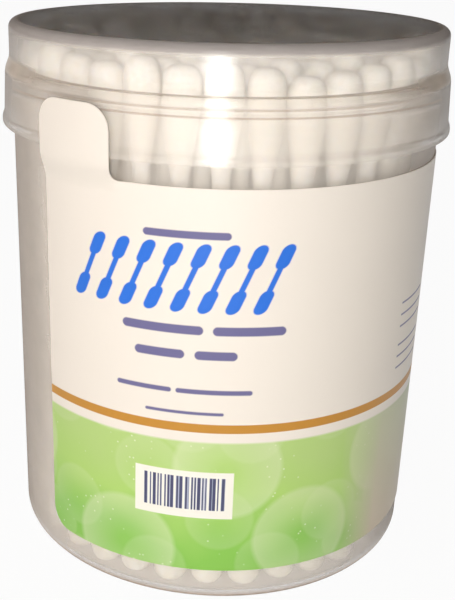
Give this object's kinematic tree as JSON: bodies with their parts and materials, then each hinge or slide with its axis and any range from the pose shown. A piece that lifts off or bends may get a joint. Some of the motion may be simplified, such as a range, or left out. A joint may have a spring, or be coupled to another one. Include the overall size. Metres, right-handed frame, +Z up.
{
  "type": "cotton swab tub",
  "caption": "Round clear plastic tub with a lift-off snap lid, filled with upright cotton swabs, with a wrapped printed film label and a seal tab over the lid's skirt.",
  "frame": {"origin": "middle of the foot ring, on the surface that the tub stands on", "axes": "+Z up along the tub's axis, the middle of the label faces -Y"},
  "size_m": [0.066, 0.066, 0.0784],
  "materials": {
    "tub_plastic": "clear moulded polypropylene, slightly milky",
    "lid_plastic": "clear moulded polypropylene, slightly milky",
    "label_film": "white printed film with a soft sheen",
    "swab": "white wound cotton tips on white sticks"
  },
  "bodies": {
    "tub": {"label": "label_film", "swab_01": "swab", "swab_02": "swab", "swab_03": "swab", "swab_04": "swab", "swab_05": "swab", "swab_06": "swab", "swab_07": "swab", "swab_08": "swab", "swab_09": "swab", "swab_10": "swab", "swab_11": "swab", "swab_12": "swab", "swab_13": "swab", "swab_14": "swab", "swab_15": "swab", "swab_16": "swab", "swab_17": "swab", "swab_18": "swab", "swab_19": "swab", "swab_20": "swab", "swab_21": "swab", "swab_22": "swab", "swab_23": "swab", "swab_24": "swab", "swab_25": "swab", "swab_26": "swab", "swab_27": "swab", "swab_28": "swab", "swab_29": "swab", "swab_30": "swab", "swab_31": "swab", "swab_32": "swab", "swab_33": "swab", "swab_centre": "swab", "swabs_ring_2": "swab", "swabs_ring_3": "swab", "swabs_ring_4": "swab", "swabs_ring_5": "swab", "tub": "tub_plastic"},
    "lid": {"lid": "lid_plastic"}
  },
  "joints": [
    {"name": "lid_lift", "type": "slide", "parent": "tub", "child": "lid", "axis": [0, 0, 1], "range_m": [0, 0.04]}
  ]
}
